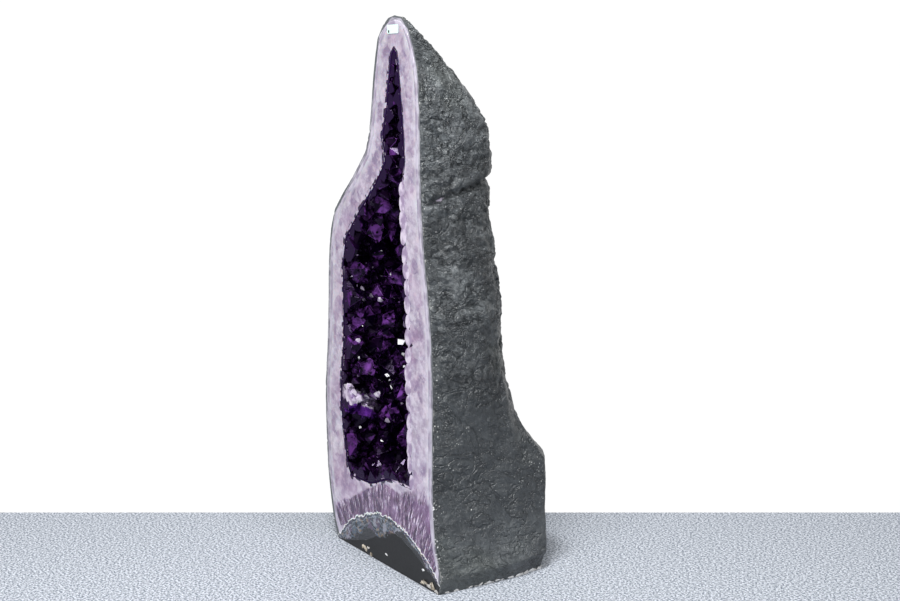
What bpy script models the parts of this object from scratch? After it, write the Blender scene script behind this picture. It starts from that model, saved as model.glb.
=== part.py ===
"""Amethyst cathedral geode: a stone bubble lined with quartz and amethyst, sawn open down its front.

X runs across the sawn face, Y from the face towards the back, Z up. The origin is at the middle
of the base. Every layer is one solid: the basalt rind, the agate skin, the quartz wall and the
carpet of small amethyst points. The larger points are separate crystals seated on the carpet.
"""

import math
import random

import bmesh
import bpy
from mathutils import Matrix, Vector
from mathutils.bvhtree import BVHTree

NAME = "amethyst_geode"

# Driving dimensions, in metres
HEIGHT = 0.800
SAW_Y = -0.114
GAP = 0.0003
RIND_AT_FACE = 0.005
RIND_AT_BACK = 0.010
AGATE = 0.0065
CARPET_AT_FACE = 0.003
CARPET_DEEP = 0.009
CARPET_IN_NECK = 0.004
NECK_Z = 0.58

# Outer stone: height, left edge, right edge, depth behind the saw cut, squareness of the section
STONE = [
    (0.000, -0.131, 0.162, 0.206, 7.0),
    (0.025, -0.145, 0.168, 0.209, 7.0),
    (0.060, -0.154, 0.156, 0.222, 7.0),
    (0.110, -0.163, 0.150, 0.227, 7.0),
    (0.160, -0.166, 0.148, 0.226, 6.5),
    (0.195, -0.168, 0.148, 0.202, 4.4),
    (0.245, -0.169, 0.149, 0.182, 3.2),
    (0.310, -0.161, 0.151, 0.169, 2.6),
    (0.390, -0.155, 0.144, 0.172, 2.4),
    (0.460, -0.150, 0.132, 0.168, 2.4),
    (0.520, -0.130, 0.123, 0.158, 2.4),
    (0.570, -0.074, 0.119, 0.154, 2.4),
    (0.610, -0.034, 0.118, 0.150, 2.4),
    (0.660, -0.018, 0.117, 0.133, 2.4),
    (0.710, -0.010, 0.114, 0.093, 2.3),
    (0.745, -0.003, 0.106, 0.059, 2.2),
    (0.770, 0.004, 0.095, 0.034, 2.1),
    (0.788, 0.020, 0.083, 0.017, 2.0),
    (0.797, 0.034, 0.068, 0.008, 2.0),
    (HEIGHT, 0.051, 0.051, 0.002, 2.0),
]

# Cavity: the same five values, from its floor to the tip of its neck
CAVITY = [
    (0.112, -0.090, 0.092, 0.100, 3.0),
    (0.130, -0.101, 0.096, 0.118, 3.0),
    (0.170, -0.109, 0.090, 0.128, 2.8),
    (0.225, -0.120, 0.090, 0.130, 2.6),
    (0.290, -0.112, 0.087, 0.125, 2.4),
    (0.360, -0.107, 0.088, 0.124, 2.4),
    (0.440, -0.108, 0.083, 0.122, 2.4),
    (0.480, -0.097, 0.079, 0.120, 2.4),
    (0.520, -0.058, 0.074, 0.115, 2.4),
    (0.560, -0.012, 0.071, 0.108, 2.4),
    (0.597, 0.021, 0.077, 0.098, 2.3),
    (0.635, 0.015, 0.073, 0.086, 2.2),
    (0.670, 0.026, 0.069, 0.072, 2.2),
    (0.702, 0.032, 0.064, 0.055, 2.2),
    (0.735, 0.039, 0.059, 0.030, 2.0),
    (0.749, 0.042, 0.056, 0.014, 2.0),
    (0.755, 0.049, 0.049, 0.004, 2.0),
]

AROUND = 28               # points round each section
RING_STEP = 0.045         # a longer stretch between two rows gets a ring in its middle
BEHIND_SHARE = 0.22       # the widest line of a section lies this share of its depth behind the cut
FRONT_REACH = 0.060       # how far the stone reached before the cut
CAP_RINGS = (0.35, 0.70)  # rings that carry a flat floor in to its middle
SHELL_LIMIT = 1.5         # an inset never moves a sharp corner by more than this many thicknesses
SMOOTH_ANGLE = 35         # degrees: flatter edges than this are shaded smooth

# How far behind the cut each layer takes to reach its full thickness
RIND_FADE = 0.10
CARPET_FADE = 0.03
NECK_FADE = 0.06          # height over which the carpet thins towards the neck

# Lumps of the rind: their size, how many waves per metre along x, y and z, and where they die out
LUMP = 0.0018
LUMP_WAVES = ((37.0, 23.0, 29.0), (61.0, 71.0, 53.0))
LUMP_FADE_AT_CUT = 0.05
LUMP_FADE_AT_BASE = 0.03

# The basalt hump under the face and the agate that covers it: height, centre, half-width
HUMP = (0.052, 0.050, 0.085)
AGATE_ARCH = (0.061, 0.024, 0.112)
ARCH_FADE = 0.15
# The cavity's floor rises by this much from left to right, between these two places across it
FLOOR_RISE = 0.022
FLOOR_RISE_FROM, FLOOR_RISE_TO = -0.04, 0.04
FLOOR_FADE = 0.10

# Large crystals: how far the seats step up the wall, and which way they lie from the cavity's axis
SEED = 11
ROW_FIRST_Z = 0.158
ROW_STEP = 0.038
MAIN_ROWS = 10
ROW_ANGLES = ((205.0, 174.0, 143.0, 112.0, 38.0), (190.0, 159.0, 128.0, 66.0))
AXIS_BEHIND_CUT = 0.048
# In the neck: height, depth behind the cut, and -1 for its left wall or 1 for its right
NECK_SEATS = ((0.542, 0.024, -1), (0.560, 0.058, -1), (0.583, 0.020, -1), (0.612, 0.040, -1),
              (0.628, 0.014, -1), (0.652, 0.034, -1), (0.668, 0.012, -1), (0.700, 0.016, -1),
              (0.640, 0.045, 1))
FULL_SIZE_ROOM = 0.080    # where the opposite wall is nearer than this, crystals are smaller
SHRINK = 0.85             # a crystal that still touches the far wall shrinks by this share
SEAT_PROBE = 0.006        # the wall is looked for this far above a crystal's base
PYRAMID_SLOPE = 1.27      # height of a quartz pyramid over its prism's half-width
HALF_WIDTHS = (0.0135, 0.0190)
PRISM_LENGTHS = (0.006, 0.016)
SEAT_Z_SCATTER = 0.005
SEAT_ANGLE_SCATTER = 4.0
# How far a crystal's axis may lean off the wall's normal, along x, y and z
LEAN = ((-0.3, 0.3), (-0.35, 0.05), (-0.3, 0.35))
# How far a pyramid's facets may sit back, as a share of the half-width: all six, and every other one more
FACET_DROP = 0.08
ALTERNATE_DROP = 0.22

LABEL_SIZE = (0.030, 0.0004, 0.012)
LABEL_AT = (0.047, 0.7815)
LABEL_CORNER = 0.0015


def clear_scene():
    """Remove every object of the opened file."""
    for item in list(bpy.data.objects):
        bpy.data.objects.remove(item, do_unlink=True)


def make_collection(name):
    """Return a new collection linked to the scene."""
    collection = bpy.data.collections.new(name)
    bpy.context.scene.collection.children.link(collection)
    return collection


def make_material(name, color, roughness, metallic=0.0):
    """Return a Principled BSDF material."""
    material = bpy.data.materials.new(name)
    material.use_nodes = True
    shader = material.node_tree.nodes["Principled BSDF"]
    shader.inputs["Base Color"].default_value = (*color, 1.0)
    shader.inputs["Roughness"].default_value = roughness
    shader.inputs["Metallic"].default_value = metallic
    return material


def add_object(name, bm, collection, material=None, smooth_angle=None):
    """Turn a bmesh into a named object."""
    mesh = bpy.data.meshes.new(name)
    bmesh.ops.recalc_face_normals(bm, faces=bm.faces[:])
    bm.to_mesh(mesh)
    bm.free()
    if smooth_angle is not None:
        mesh.shade_smooth()
        mesh.set_sharp_from_angle(angle=math.radians(smooth_angle))
    item = bpy.data.objects.new(name, mesh)
    collection.objects.link(item)
    if material is not None:
        mesh.materials.append(material)
    return item


def section_at(rows, z):
    """Left, right, depth and squareness at a height, on a smooth curve through the rows."""
    last = len(rows) - 1
    i = max(k for k in range(last) if rows[k][0] <= z + 1e-9)
    low, high = rows[i], rows[i + 1]
    before, after = rows[max(i - 1, 0)], rows[min(i + 2, last)]
    span = high[0] - low[0]
    t = min(1.0, (z - low[0]) / span)
    values = []
    for k in range(1, 5):
        slope_low = (high[k] - before[k]) / (high[0] - before[0]) * span
        slope_high = (after[k] - low[k]) / (after[0] - low[0]) * span
        values.append((2 * t**3 - 3 * t**2 + 1) * low[k] + (t**3 - 2 * t**2 + t) * slope_low
                      + (3 * t**2 - 2 * t**3) * high[k] + (t**3 - t**2) * slope_high)
    return values


def ring_heights(rows):
    """Heights of the sections: every row, and the middle of each long stretch."""
    heights = []
    for low, high in zip(rows, rows[1:]):
        heights.append(low[0])
        if high[0] - low[0] > RING_STEP:
            heights.append((low[0] + high[0]) / 2)
    heights.append(rows[-1][0])
    return heights


def section_points(rows, z, scale=1.0):
    """One closed section: a rounded box that is deep behind the cut and shallow before it."""
    left, right, depth, square = section_at(rows, z)
    middle = Vector(((left + right) / 2, SAW_Y + BEHIND_SHARE * depth, z))
    back = (1.0 - BEHIND_SHARE) * depth
    front = BEHIND_SHARE * depth + FRONT_REACH
    cut_share = (1.0 - (BEHIND_SHARE * depth / front) ** square) ** (1.0 / square)
    half = (right - left) / 2 / cut_share
    points = []
    for k in range(AROUND):
        angle = 2 * math.pi * (k + 0.5) / AROUND
        across, along = math.cos(angle), math.sin(angle)
        reach = back if along > 0 else front
        radius = (abs(across / half) ** square + abs(along / reach) ** square) ** (-1.0 / square)
        points.append(middle + Vector((across, along, 0.0)) * radius * scale)
    return points


def loft(rows):
    """A closed body through all the sections, with a flat floor; the last row is its tip."""
    bm = bmesh.new()
    heights = ring_heights(rows)[:-1]
    rings = [section_points(rows, heights[0], scale) for scale in CAP_RINGS]
    rings += [section_points(rows, z) for z in heights]
    loops = [[bm.verts.new(point) for point in ring] for ring in rings]
    for lower, upper in zip(loops, loops[1:]):
        for k in range(AROUND):
            n = (k + 1) % AROUND
            bm.faces.new((lower[k], lower[n], upper[n]))
            bm.faces.new((lower[k], upper[n], upper[k]))
    for loop, z in ((loops[0], heights[0]), (loops[-1], rows[-1][0])):
        left, right, depth, _ = section_at(rows, z)
        middle = bm.verts.new(((left + right) / 2, SAW_Y + BEHIND_SHARE * depth, z))
        for k in range(AROUND):
            bm.faces.new((loop[k], loop[(k + 1) % AROUND], middle))
    bmesh.ops.recalc_face_normals(bm, faces=bm.faces[:])
    return bm


def inset(bm, thickness):
    """Move each point inwards by the thickness that holds there."""
    bm.normal_update()
    moves = []
    for vert in bm.verts:
        corner = min(vert.calc_shell_factor(), SHELL_LIMIT)
        moves.append((vert, vert.normal * thickness(vert.co) * corner))
    for vert, move in moves:
        vert.co -= move


def arch_floor(bm, rise, fade):
    """Lift the lowest part of a body by a height that depends on x, fading out upwards."""
    floor = min(v.co.z for v in bm.verts)
    for vert in bm.verts:
        share = max(0.0, 1.0 - (vert.co.z - floor) / fade)
        vert.co.z += rise(vert.co.x) * share * share


def bell(x, height, centre, half_width):
    """A bell curve."""
    return height * math.exp(-((x - centre) / half_width) ** 2)


def ease(t):
    """A smooth step from 0 to 1."""
    t = min(1.0, max(0.0, t))
    return t * t * (3.0 - 2.0 * t)


def behind_cut(point, depth):
    """0 at the sawn face, rising to 1 at a depth behind it."""
    return ease((point.y - SAW_Y) / depth)


def rind_thickness(point):
    """The basalt is a thin skin at the face and thicker at the back."""
    return RIND_AT_FACE + (RIND_AT_BACK - RIND_AT_FACE) * behind_cut(point, RIND_FADE)


def carpet_thickness(point):
    """The carpet of small points thins towards the face and in the neck."""
    in_neck = ease((point.z - NECK_Z) / NECK_FADE + 1.0)
    deep = CARPET_DEEP + (CARPET_IN_NECK - CARPET_DEEP) * in_neck
    return CARPET_AT_FACE + (deep - CARPET_AT_FACE) * behind_cut(point, CARPET_FADE)


def add_lumps(bm):
    """Swell the outside of the stone in soft lumps that die out at the cut and at the base."""
    bm.normal_update()
    moves = []
    for vert in bm.verts:
        x, y, z = vert.co
        waves = 0.0
        for i, (a, b, c) in enumerate(LUMP_WAVES):
            waves += math.sin(a * x + 2.0 * i) * math.sin(b * y + 1.0)
            waves += math.sin(c * z + 3.0 * i + a * x / 3.0)
        fade = behind_cut(vert.co, LUMP_FADE_AT_CUT) * ease(z / LUMP_FADE_AT_BASE)
        moves.append((vert, vert.normal * LUMP * (1.0 + waves / 3.0) * fade))
    for vert, move in moves:
        vert.co += move


def slice_off(bm, point, normal):
    """Cut away what lies beyond a plane and close the cut with a flat face."""
    cut = bmesh.ops.bisect_plane(bm, geom=bm.verts[:] + bm.edges[:] + bm.faces[:], dist=1e-6,
                                 plane_co=point, plane_no=normal, clear_outer=True)
    edges = [e for e in cut["geom_cut"] if isinstance(e, bmesh.types.BMEdge)]
    bmesh.ops.edgeloop_fill(bm, edges=edges)


def saw(bm):
    """Saw the front off a body."""
    slice_off(bm, Vector((0.0, SAW_Y, 0.0)), Vector((0.0, -1.0, 0.0)))


def stone_body():
    """The whole stone, lumps and all."""
    bm = loft(STONE)
    add_lumps(bm)
    return bm


def agate_body(extra=0.0):
    """What fills the rind: its floor rises over the basalt hump."""
    bm = loft(STONE)
    inset(bm, lambda p: rind_thickness(p) + extra)
    arch_floor(bm, lambda x: bell(x, *HUMP), ARCH_FADE)
    return bm


def quartz_body(extra=0.0):
    """What fills the agate skin: its floor rises over the arch of banded agate."""
    bm = loft(STONE)
    inset(bm, lambda p: rind_thickness(p) + AGATE + extra)
    arch_floor(bm, lambda x: bell(x, *AGATE_ARCH), ARCH_FADE)
    return bm


def cavity_body(thickness):
    """The hollow in the quartz, less a lining of the given thickness."""
    bm = loft(CAVITY)
    inset(bm, thickness)
    width = FLOOR_RISE_TO - FLOOR_RISE_FROM
    arch_floor(bm, lambda x: FLOOR_RISE * ease((x - FLOOR_RISE_FROM) / width), FLOOR_FADE)
    return bm


def hollow_out(item, cutter_bm, cutters):
    """Subtract a cutter from an object, with the cutter kept hidden."""
    cutter = add_object(item.name + "_cutter", cutter_bm, cutters)
    cutter.hide_render = True
    cutter.display_type = "WIRE"
    boolean = item.modifiers.new("hollow", "BOOLEAN")
    boolean.operation = "DIFFERENCE"
    boolean.solver = "EXACT"
    boolean.object = cutter


def build_layer(name, body, hollow, parts, cutters, material):
    """One shell of the geode, sawn flat at the front."""
    saw(body)
    item = add_object(name, body, parts, material, smooth_angle=SMOOTH_ANGLE)
    hollow_out(item, hollow, cutters)
    return item


def find_seat(wall, z, behind, angle):
    """The point and inward normal where a level ray from the middle of the cavity meets the carpet."""
    turn = math.radians(angle)
    left, right, _, _ = section_at(CAVITY, z)
    start = Vector(((left + right) / 2, SAW_Y + behind, z))
    point, normal, _, _ = wall.ray_cast(start, Vector((math.cos(turn), math.sin(turn), 0.0)))
    if normal.dot(start - point) < 0:
        normal = -normal
    return point, normal


def quartz_point(seat, normal, axis, half_width, length, spin, rng):
    """A six-sided prism with a six-sided pyramid, cut flat parallel to the wall it sits on."""
    depth = 2 * length
    bm = bmesh.new()
    bmesh.ops.create_cone(bm, cap_ends=True, segments=6, depth=depth,
                          radius1=half_width / math.cos(math.pi / 6),
                          radius2=half_width / math.cos(math.pi / 6))
    for k in range(6):
        turn = math.pi / 3 * k
        slope = Vector((math.cos(turn) * PYRAMID_SLOPE, math.sin(turn) * PYRAMID_SLOPE, 1.0))
        drop = rng.uniform(0.0, ALTERNATE_DROP) * half_width * (k % 2)
        drop += rng.uniform(0.0, FACET_DROP) * half_width
        slice_off(bm, Vector((0.0, 0.0, length - drop)), slope.normalized())
    turned = axis.to_track_quat("Z", "Y").to_matrix().to_4x4()
    place = Matrix.Translation(seat) @ turned @ Matrix.Rotation(spin, 4, "Z")
    bmesh.ops.transform(bm, matrix=place, verts=bm.verts[:])
    slice_off(bm, seat, -normal)
    return bm


def lift_clear(bm, wall, normal):
    """Raise a crystal off the wall until the nearest corner of its base has the usual gap."""
    base = min(vert.co.dot(normal) for vert in bm.verts)
    lowest = GAP
    for vert in bm.verts:
        near, _, _, _ = wall.ray_cast(vert.co + normal * SEAT_PROBE, -normal)
        if near is not None and vert.co.dot(normal) < base + GAP:
            lowest = min(lowest, (vert.co - near).dot(normal))
    for vert in bm.verts:
        vert.co += normal * (GAP - lowest)


def part_neighbours(crystals):
    """Where two crystals meet, cut both back to a shared flat face with the usual gap in it."""
    for i, (first, first_size) in enumerate(crystals):
        for second, second_size in crystals[i + 1:]:
            if not BVHTree.FromBMesh(first).overlap(BVHTree.FromBMesh(second)):
                continue
            a = sum((v.co for v in first.verts), Vector()) / len(first.verts)
            b = sum((v.co for v in second.verts), Vector()) / len(second.verts)
            between = (b - a).normalized()
            meeting = a + (b - a) * first_size / (first_size + second_size)
            slice_off(first, meeting - between * GAP / 2, between)
            slice_off(second, meeting + between * GAP / 2, -between)


def build_crystals(wall, parts, material):
    """The large amethyst points, row by row up the wall and then up the neck."""
    rng = random.Random(SEED)
    seats = []
    for row in range(MAIN_ROWS):
        for angle in ROW_ANGLES[row % 2]:
            seats.append((ROW_FIRST_Z + ROW_STEP * row, AXIS_BEHIND_CUT, angle))
    seats += [(z, behind, 90.0 - 90.0 * side) for z, behind, side in NECK_SEATS]
    crystals = []
    for z, behind, angle in seats:
        z += rng.uniform(-SEAT_Z_SCATTER, SEAT_Z_SCATTER)
        angle += rng.uniform(-SEAT_ANGLE_SCATTER, SEAT_ANGLE_SCATTER)
        point, normal = find_seat(wall, z, behind, angle)
        lean = Vector([rng.uniform(low, high) for low, high in LEAN])
        axis = (normal + lean).normalized()
        scale = min(1.0, wall.ray_cast(point + axis * GAP, axis)[3] / FULL_SIZE_ROOM)
        half_width = rng.uniform(*HALF_WIDTHS) * scale
        length = half_width * PYRAMID_SLOPE + rng.uniform(*PRISM_LENGTHS) * scale
        spin = rng.uniform(0.0, math.pi / 3)
        bm = quartz_point(point, normal, axis, half_width, length, spin, rng)
        lift_clear(bm, wall, normal)
        while BVHTree.FromBMesh(bm).overlap(wall):
            at_seat = Matrix.Translation(-point)
            bmesh.ops.scale(bm, vec=(SHRINK,) * 3, space=at_seat, verts=bm.verts[:])
            lift_clear(bm, wall, normal)
        if min(v.co.y for v in bm.verts) < SAW_Y:
            saw(bm)
        crystals.append((bm, half_width))
    part_neighbours(crystals)
    for number, (bm, _) in enumerate(crystals, start=1):
        add_object(f"crystal_{number:02d}", bm, parts, material)


def build_label(parts, material):
    """A small blank sticker near the top of the sawn face."""
    bm = bmesh.new()
    bmesh.ops.create_cube(bm, size=1.0)
    bmesh.ops.scale(bm, vec=LABEL_SIZE, verts=bm.verts[:])
    uprights = [e for e in bm.edges if abs(e.verts[0].co.y - e.verts[1].co.y) > LABEL_SIZE[1] / 2]
    bmesh.ops.bevel(bm, geom=uprights, offset=LABEL_CORNER, segments=2, affect="EDGES", profile=0.5)
    x, z = LABEL_AT
    bmesh.ops.translate(bm, vec=(x, SAW_Y - GAP - LABEL_SIZE[1] / 2, z), verts=bm.verts[:])
    add_object("price_label", bm, parts, material)


def main():
    """Build every layer, then the crystals and the label."""
    clear_scene()
    parts = make_collection(NAME)
    cutters = make_collection("cutters")
    basalt = make_material("basalt", (0.10, 0.11, 0.12), 0.45)
    agate = make_material("agate", (0.40, 0.42, 0.50), 0.25)
    quartz = make_material("quartz", (0.46, 0.39, 0.54), 0.22)
    carpet = make_material("amethyst_carpet", (0.10, 0.03, 0.20), 0.20)
    amethyst = make_material("amethyst", (0.12, 0.03, 0.26), 0.10)
    paper = make_material("label_paper", (0.70, 0.90, 0.84), 0.60)
    build_layer("basalt_rind", stone_body(), agate_body(), parts, cutters, basalt)
    build_layer("agate_skin", agate_body(GAP), quartz_body(), parts, cutters, agate)
    build_layer("quartz_wall", quartz_body(GAP), cavity_body(lambda p: 0.0), parts, cutters, quartz)
    build_layer("amethyst_carpet", cavity_body(lambda p: GAP), cavity_body(carpet_thickness),
                parts, cutters, carpet)
    wall_bm = cavity_body(carpet_thickness)
    wall = BVHTree.FromBMesh(wall_bm)
    wall_bm.free()
    build_crystals(wall, parts, amethyst)
    build_label(parts, paper)


main()
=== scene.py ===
# %% [markdown]
# # Amethyst cathedral geode
# A hollow stone bubble from a lava flow, sawn open down its front and stood on a sawn base. From outside
# to inside it has a dark painted basalt rind, a thin skin of grey-blue agate, a wall of pale lavender
# quartz and a lining of dark amethyst points. The CAD solids give every layer its place and size. Here
# each layer gets its real surface.

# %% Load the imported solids
import math
import random

import bmesh
import bpy
import numpy as np
from mathutils import Matrix, Vector, noise
from mathutils.bvhtree import BVHTree
from mathutils.kdtree import KDTree


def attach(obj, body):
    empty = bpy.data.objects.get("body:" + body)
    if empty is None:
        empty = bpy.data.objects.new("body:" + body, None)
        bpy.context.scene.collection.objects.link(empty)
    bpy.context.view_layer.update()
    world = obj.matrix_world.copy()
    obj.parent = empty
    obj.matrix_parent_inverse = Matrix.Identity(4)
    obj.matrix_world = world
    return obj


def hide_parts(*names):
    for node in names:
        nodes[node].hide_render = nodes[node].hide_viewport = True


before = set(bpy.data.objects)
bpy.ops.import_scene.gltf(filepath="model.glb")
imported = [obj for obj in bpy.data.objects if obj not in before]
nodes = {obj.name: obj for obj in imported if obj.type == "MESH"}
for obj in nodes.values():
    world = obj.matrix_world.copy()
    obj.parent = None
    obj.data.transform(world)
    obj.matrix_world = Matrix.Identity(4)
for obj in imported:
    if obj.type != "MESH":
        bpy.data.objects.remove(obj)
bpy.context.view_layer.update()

SAW_Y = -0.114            # the plane of the polished face

# %% [markdown]
# ## Shader maths
# A wire holds one output of a shader node and takes ordinary arithmetic, so each pattern below reads as
# a formula. Everything that isn't arithmetic goes through one method that names the node, its settings
# and its inputs.

# %% Shader helpers
def rgb(red, green, blue):
    """A display colour from 0 to 255 as the linear colour that a shader wants."""
    return (*[(c / 255) ** 2.2 for c in (red, green, blue)], 1.0)


class Wire:
    """One output socket that takes arithmetic."""

    def __init__(self, shade, socket):
        self.shade, self.socket = shade, socket

    def math(self, operation, *others):
        return self.shade.node("ShaderNodeMath", {"operation": operation}, (self, *others))

    def __add__(self, other):
        return self.math("ADD", other)

    def __radd__(self, other):
        return self.math("ADD", other)

    def __sub__(self, other):
        return self.math("SUBTRACT", other)

    def __rsub__(self, other):
        return self.shade.node("ShaderNodeMath", {"operation": "SUBTRACT"}, (other, self))

    def __mul__(self, other):
        return self.math("MULTIPLY", other)

    def __rmul__(self, other):
        return self.math("MULTIPLY", other)

    def __truediv__(self, other):
        return self.math("DIVIDE", other)

    def step(self, low, high):
        """A smooth step from 0 at low to 1 at high."""
        return self.shade.node("ShaderNodeMapRange", {"interpolation_type": "SMOOTHSTEP"},
                               (self, low, high, 0.0, 1.0))

    def bell(self, middle, width):
        """1 at the middle, falling smoothly to 0 at a width to either side."""
        return 1.0 - ((self - middle).math("ABSOLUTE")).step(0.0, width)


class Shade:
    """One procedural material on a Principled shader."""

    def __init__(self, name, **fixed):
        self.material = bpy.data.materials.new(name)
        self.material.use_nodes = True
        self.tree = self.material.node_tree
        self.shader = self.tree.nodes["Principled BSDF"]
        for key, value in fixed.items():
            self.shader.inputs[key.replace("_", " ")].default_value = value
        self.place = self.node("ShaderNodeTexCoord", output="Object")
        self.x, self.y, self.z = (self.node("ShaderNodeSeparateXYZ", {}, (self.place,), axis)
                                  for axis in "XYZ")

    def node(self, kind, settings=None, inputs=(), output=0):
        made = self.tree.nodes.new(kind)
        for key, value in (settings or {}).items():
            setattr(made, key, value)
        pairs = inputs.items() if isinstance(inputs, dict) else enumerate(inputs)
        for key, value in pairs:
            if isinstance(value, Wire):
                self.tree.links.new(value.socket, made.inputs[key])
            else:
                made.inputs[key].default_value = value
        return Wire(self, made.outputs[output])

    def vector(self, x, y, z):
        return self.node("ShaderNodeCombineXYZ", {}, (x, y, z))

    def noise(self, scale, detail=4.0, at=None, rough=0.55, twist=0.0):
        return self.node("ShaderNodeTexNoise", {}, {"Vector": at or self.place, "Scale": scale,
                         "Detail": detail, "Roughness": rough, "Distortion": twist}, "Fac")

    def cells(self, scale, at=None, feature="F1", output="Distance", detail=0.0):
        return self.node("ShaderNodeTexVoronoi", {"feature": feature},
                         {"Vector": at or self.place, "Scale": scale, "Detail": detail}, output)

    def mix(self, share, first, second):
        return self.node("ShaderNodeMix", {"data_type": "RGBA"}, {0: share, 6: first, 7: second}, 2)

    def attribute(self, name):
        return self.node("ShaderNodeAttribute", {"attribute_name": name}, (), "Fac")

    def bump(self, height, strength, distance):
        bumped = self.node("ShaderNodeBump", {}, {"Height": height, "Strength": strength,
                                                   "Distance": distance}, "Normal")
        self.set(Normal=bumped)

    def foot(self, tone):
        """The tone with the foot of the sawn face over it: agate under an arch, then basalt."""
        def swell(height, middle, width):
            away = (self.x - middle) / width
            return (away * away * -1.0).math("EXPONENT") * height
        flat = self.vector(self.x, 0.0, self.z)
        away = (self.x - 0.022) / 0.147
        arch = 0.077 - away * away * 0.062
        jag = (self.noise(70.0, 2.0) - 0.5).math("ABSOLUTE") * 0.028
        deep = arch - jag - self.z + (self.noise(28.0, 2.0) - 0.5) * 0.012
        eye = self.cells(38.0, flat)
        wave = self.noise(40.0, 4.0, rough=0.6, twist=0.4)
        rings = (deep * 620.0 + eye * 16.0 + wave * 6.0).math("SINE")
        band = self.mix(rings.step(-0.6, 0.7), rgb(8, 17, 28), rgb(84, 98, 114))
        band = self.mix(self.noise(36.0, 4.0).step(0.50, 0.56) * 0.8, band, rgb(92, 70, 98))
        band = self.mix(self.noise(58.0, 5.0, rough=0.65).step(0.55, 0.60) * 0.8, band, rgb(166, 166, 180))
        band = self.mix(self.noise(80.0, 4.0, rough=0.6).step(0.57, 0.62) * 0.8, band, rgb(150, 130, 108))
        band = self.mix((1.0 - eye.step(0.10, 0.16)) * 0.9, band, rgb(20, 42, 62))
        band = self.mix((rings.math("ABSOLUTE") * -1.0).step(-0.10, -0.02) * 0.5, band, rgb(186, 194, 208))
        band = self.mix(deep.bell(0.0075, 0.0013) * 0.7, band, rgb(188, 196, 210))
        band = self.mix(deep.bell(0.0035, 0.0018) * 0.6, band, rgb(22, 44, 62))
        band = self.mix((deep + wave * 0.006).bell(0.0170, 0.0012) * 0.6, band, rgb(170, 172, 184))
        band = self.mix(0.28, band, rgb(14, 20, 28))
        ragged = (self.noise(55.0, 4.0, rough=0.65) - 0.5) * 0.030
        top = swell(0.043, -0.030, 0.050).math("MAXIMUM", swell(0.060, 0.062, 0.088)) + ragged
        band = self.mix(1.0 - (self.z - top).step(-0.0006, 0.0006), band, rgb(17, 18, 21))
        tone = self.mix(deep.step(-0.0006, 0.0006), tone, band)
        return self.mix(deep.bell(0.0003, 0.0019), tone, rgb(255, 255, 255))

    def set(self, **wires):
        for key, value in wires.items():
            socket = self.shader.inputs[key.replace("_", " ")]
            self.tree.links.new(value.socket, socket)


# %% [markdown]
# ## Mesh helpers
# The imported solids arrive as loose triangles. A merged copy of one is a closed body that can be cut,
# sampled or refined.

# %% Mesh helpers
def merged(name):
    """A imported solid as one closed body."""
    bm = bmesh.new()
    bm.from_mesh(nodes[name].data)
    bmesh.ops.remove_doubles(bm, verts=bm.verts[:], dist=1e-6)
    bm.normal_update()
    return bm


def on_face(face):
    """Whether a polygon lies in the sawn plane."""
    return abs(face.normal.y) > 0.99 and abs(face.calc_center_median().y - SAW_Y) < 1e-5


def shells(bm):
    """The separate surfaces left once the sawn face is taken away, largest first."""
    bmesh.ops.delete(bm, geom=[f for f in bm.faces if on_face(f)], context="FACES")
    left = set(bm.verts)
    found = []
    while left:
        todo = [left.pop()]
        group = set(todo)
        while todo:
            for edge in todo.pop().link_edges:
                for vert in edge.verts:
                    if vert in left:
                        left.discard(vert)
                        group.add(vert)
                        todo.append(vert)
        found.append(group)
    return sorted(found, key=lambda g: -max(v.co.z for v in g) + min(v.co.z for v in g))


def only(bm, group):
    """A copy of one surface by itself."""
    copy = bm.copy()
    copy.verts.ensure_lookup_table()
    keep = {v.index for v in group}
    bmesh.ops.delete(copy, geom=[v for v in copy.verts if v.index not in keep], context="VERTS")
    return copy


def make(name, bm, material=None, smooth=None):
    """A bmesh as a named object."""
    mesh = bpy.data.meshes.new(name)
    bm.to_mesh(mesh)
    bm.free()
    if smooth is not None:
        mesh.shade_smooth()
        mesh.set_sharp_from_angle(angle=math.radians(smooth))
    item = bpy.data.objects.new(name, mesh)
    bpy.context.scene.collection.objects.link(item)
    if material:
        mesh.materials.append(material)
    return item


def finish_piece(item, slot, *replaced):
    """Fix a piece to the stone. The slot is not used."""
    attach(item, "root")
    if replaced:
        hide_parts(*replaced)
    item.data.calc_loop_triangles()
    print(item.name, len(item.data.loop_triangles), "triangles")


def baked(item, name):
    """A plain mesh object with the item's modifiers applied; the item is removed."""
    depsgraph = bpy.context.evaluated_depsgraph_get()
    mesh = bpy.data.meshes.new_from_object(item.evaluated_get(depsgraph))
    bpy.data.objects.remove(item, do_unlink=True)
    plain = bpy.data.objects.new(name, mesh)
    bpy.context.scene.collection.objects.link(plain)
    return plain


def dress(item, material):
    """Give every face of a piece one material."""
    item.data.materials.clear()
    item.data.materials.append(material)
    item.data.polygons.foreach_set("material_index", [0] * len(item.data.polygons))


# %% [markdown]
# ## Basalt rind
# The outside of a geode is the lava it grew in. Here it has been painted with thick dark grey enamel, so
# broken stone shows through as soft lumps, creases and small pits. Only its front and base are sawn
# flat. The outside is rebuilt as an even grid of points found
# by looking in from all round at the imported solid, and then each point is pushed in or out by noise.
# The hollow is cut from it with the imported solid's own inner surface, so the front edge stays sharp.

# %% Sample the outside
ROW = 0.003
COLUMNS = 230
RAYS = 360
REACH = 0.6
CAP = 0.024               # below the tip by this much, rows start to close up
CAP_ROWS = 14

rind = merged("basalt_rind")
outer_group, inner_group = shells(rind)[:2]
outer_shell = BVHTree.FromBMesh(only(rind, outer_group))
inner_bm = only(rind, inner_group)
top_z = max(v.co.z for v in outer_group)
rind.free()


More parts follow.
